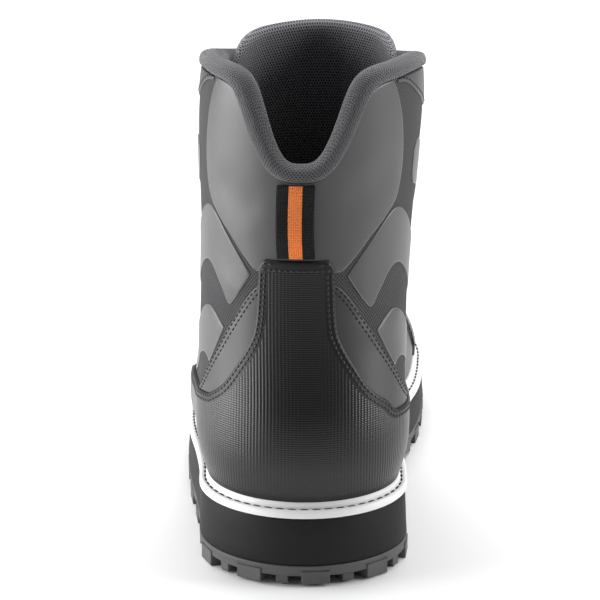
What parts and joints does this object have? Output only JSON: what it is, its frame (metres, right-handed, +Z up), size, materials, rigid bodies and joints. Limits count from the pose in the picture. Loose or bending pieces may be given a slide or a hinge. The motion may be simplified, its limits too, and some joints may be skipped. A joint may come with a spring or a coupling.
{
  "type": "wading boot",
  "caption": "High lace-up wading boot with a padded collar, heel pull loop, heel counter, white storm welt and lugged rubber outsole; left foot.",
  "frame": {"origin": "middle of the boot's box, on the floor", "axes": "+Z up, +Y from the heel to the toe, +X to the inner side of the left foot"},
  "size_m": [0.1114, 0.3108, 0.2132],
  "materials": {
    "outsole_rubber": "matt dark grey moulded rubber",
    "midsole_foam": "matt black foam with a fine closed-cell skin",
    "welt_white": "white moulded welt with a stitched groove",
    "insole_fabric": "dark brushed textile",
    "quarter_leather": "satin dark grey coated synthetic leather",
    "counter_leather": "black synthetic leather embossed with a fine weave",
    "toe_cap_leather": "black embossed synthetic leather",
    "eyestay_leather": "smooth dark grey synthetic leather",
    "collar_knit": "matt dark grey padded knit",
    "tongue_mesh": "dark grey air mesh",
    "loop_webbing": "black webbing with an orange stripe",
    "lace_cord": "black woven cord",
    "lace_metal": "satin black"
  },
  "bodies": {
    "root": {"outsole": "outsole_rubber", "midsole": "midsole_foam", "welt": "welt_white", "insole": "insole_fabric", "upper": "quarter_leather", "heel_counter": "counter_leather", "toe_cap": "toe_cap_leather", "eyestay_inner": "eyestay_leather", "eyestay_outer": "eyestay_leather", "collar": "collar_knit", "tongue": "tongue_mesh", "pull_loop": "loop_webbing", "eyelet_inner_1": "lace_metal", "eyelet_inner_2": "lace_metal", "eyelet_inner_3": "lace_metal", "eyelet_inner_4": "lace_metal", "eyelet_inner_5": "lace_metal", "hook_inner_1": "lace_metal", "hook_inner_2": "lace_metal", "eyelet_outer_1": "lace_metal", "eyelet_outer_2": "lace_metal", "eyelet_outer_3": "lace_metal", "eyelet_outer_4": "lace_metal", "eyelet_outer_5": "lace_metal", "hook_outer_1": "lace_metal", "hook_outer_2": "lace_metal", "lace": "lace_cord"}
  },
  "joints": []
}
